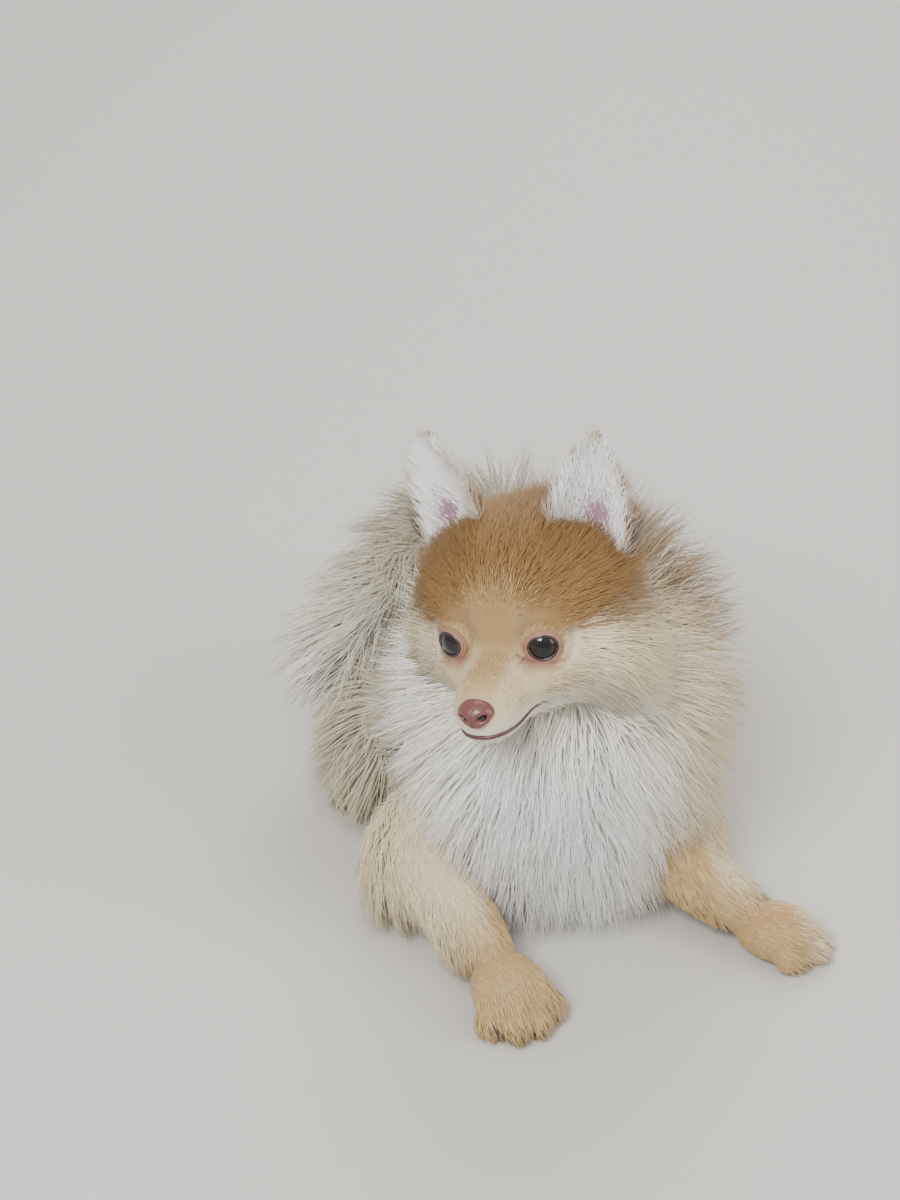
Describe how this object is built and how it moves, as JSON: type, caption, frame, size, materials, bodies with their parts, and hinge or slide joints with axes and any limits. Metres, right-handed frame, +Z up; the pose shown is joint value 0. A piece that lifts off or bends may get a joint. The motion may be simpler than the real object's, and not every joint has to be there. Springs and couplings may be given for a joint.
{
  "type": "pomeranian puppy figure",
  "caption": "Life-size still model of a cream-sable pomeranian puppy lying down, forelegs out, head raised and turned, tail over the back.",
  "frame": {"origin": "on the floor under the middle of the bounding box", "axes": "+Z up; the trunk points along -Y; the dog's left side is +X"},
  "size_m": [0.1978, 0.2714, 0.2127],
  "materials": {
    "orange_coat": "short dense fur, orange tan",
    "cream_coat": "long double coat, cream, darker tips along the back",
    "white_coat": "long fluffy ruff and bib, off-white",
    "tan_coat": "short fur with feathering, cream tan",
    "nose_leather": "moist pebbled leather, brown",
    "eye": "wet, glossy, almost black"
  },
  "bodies": {
    "root": {"head": "orange_coat", "nose": "nose_leather", "eye_right": "eye", "eye_left": "eye", "ear_right": "orange_coat", "ear_left": "orange_coat", "forepaw_right": "tan_coat", "foreleg_right": "tan_coat", "forepaw_left": "tan_coat", "foreleg_left": "tan_coat", "hindpaw_right": "tan_coat", "hindleg_right": "cream_coat", "hindpaw_left": "tan_coat", "hindleg_left": "cream_coat", "neck": "white_coat", "tail": "cream_coat", "torso": "cream_coat"}
  },
  "joints": []
}
